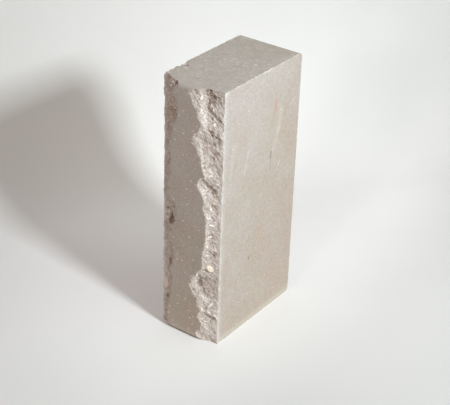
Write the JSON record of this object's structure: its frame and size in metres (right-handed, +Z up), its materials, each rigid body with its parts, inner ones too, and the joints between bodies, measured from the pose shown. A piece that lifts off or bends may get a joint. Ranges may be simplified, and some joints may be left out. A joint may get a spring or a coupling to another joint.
{
  "type": "hyper-pressed brick",
  "caption": "Solid pressed facing brick with rounded mould corners; its front stretcher is a flat pressed band between spalled, rock-face arrises.",
  "frame": {"origin": "middle of the lower header end, on the floor that the brick stands on", "axes": "+Z up the brick's length, X through its thickness in the direction of pressing, +Y from the rock face to the plain back stretcher"},
  "size_m": [0.065, 0.12, 0.25],
  "materials": {
    "pressed_body": "dry matt pressed limestone and cement, warm grey"
  },
  "bodies": {
    "root": {"brick": "pressed_body"}
  },
  "joints": []
}
